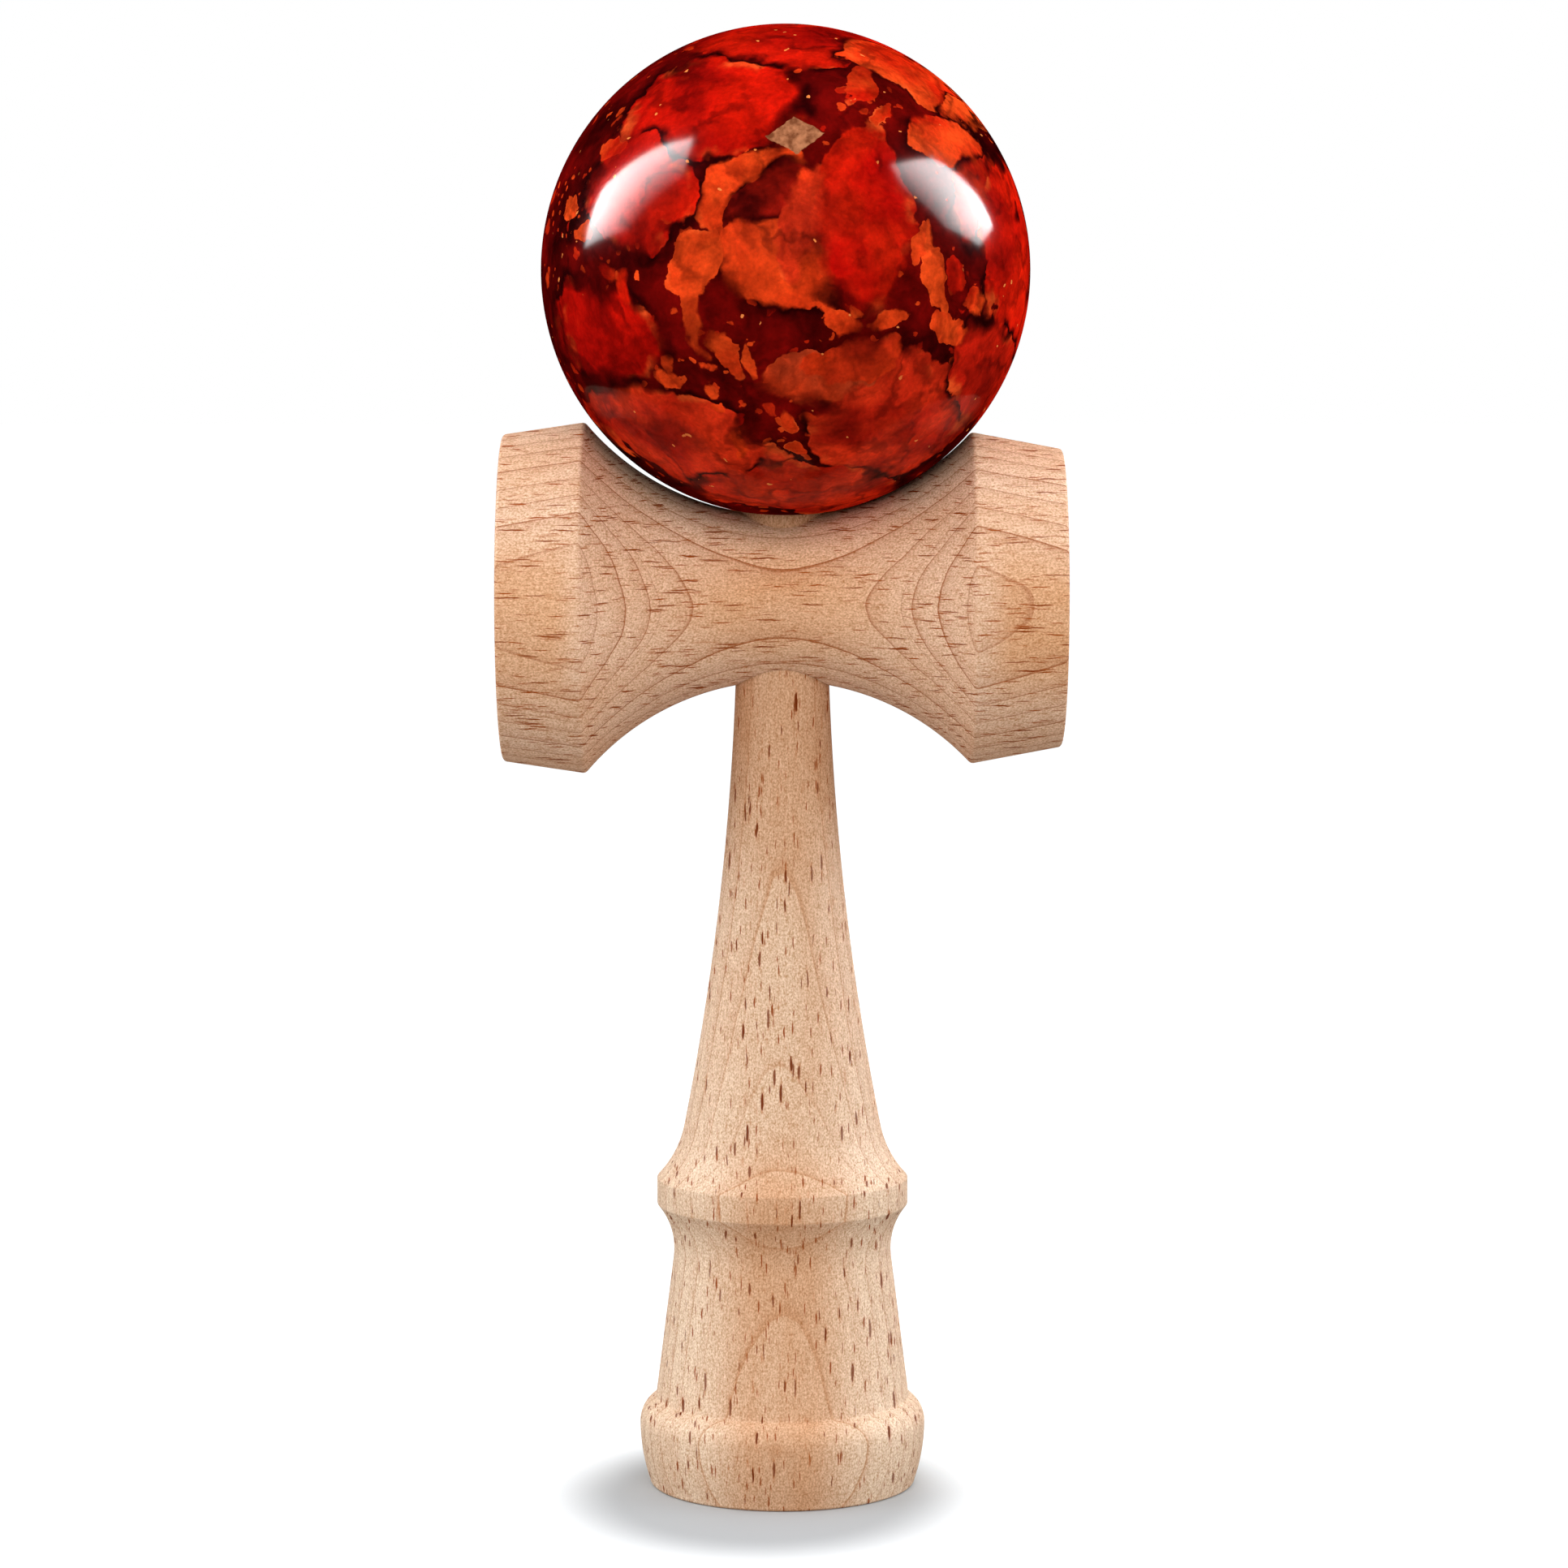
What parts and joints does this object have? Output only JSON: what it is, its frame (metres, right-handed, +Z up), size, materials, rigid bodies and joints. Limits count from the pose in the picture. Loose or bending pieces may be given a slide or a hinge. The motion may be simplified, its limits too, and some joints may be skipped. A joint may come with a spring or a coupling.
{
  "type": "cup and ball toy",
  "caption": "Turned wooden cup and ball toy: a handle with a spike and base cup, a crosspiece with a big and a small cup, and a bored ball on the spike.",
  "frame": {"origin": "middle of the toy seen from above, on the surface that it stands on; the handle's axis stands 3 mm behind it, at y = 0.003", "axes": "+Z up along the handle to the spike, -X towards the big cup, -Y towards the viewer of the picture"},
  "size_m": [0.0692, 0.06, 0.1818],
  "materials": {
    "handle_beech": "bare sanded beech, grain upright",
    "crosspiece_beech": "bare sanded beech, grain along the crosspiece",
    "marbled_lacquer": "red marbled paint under glossy clear lacquer",
    "bead_wood": "plain wood"
  },
  "bodies": {
    "handle": {"handle": "handle_beech"},
    "crosspiece": {"cup_crosspiece": "crosspiece_beech"},
    "bead": {"string_bead": "bead_wood"},
    "ball": {"ball": "marbled_lacquer"}
  },
  "joints": [
    {"name": "crosspiece_pull", "type": "slide", "parent": "handle", "child": "crosspiece", "axis": [0, 0, 1], "range_m": [0, 0.06]},
    {"name": "ball_lift", "type": "slide", "parent": "crosspiece", "child": "bead", "axis": [0, 0, 1], "range_m": [0, 0.05]},
    {"name": "ball_spin", "type": "hinge", "parent": "bead", "child": "ball", "pos_m": [0.0004, 0, 0.15184], "axis": [0, -0.1426, 0.9898], "continuous": true}
  ]
}
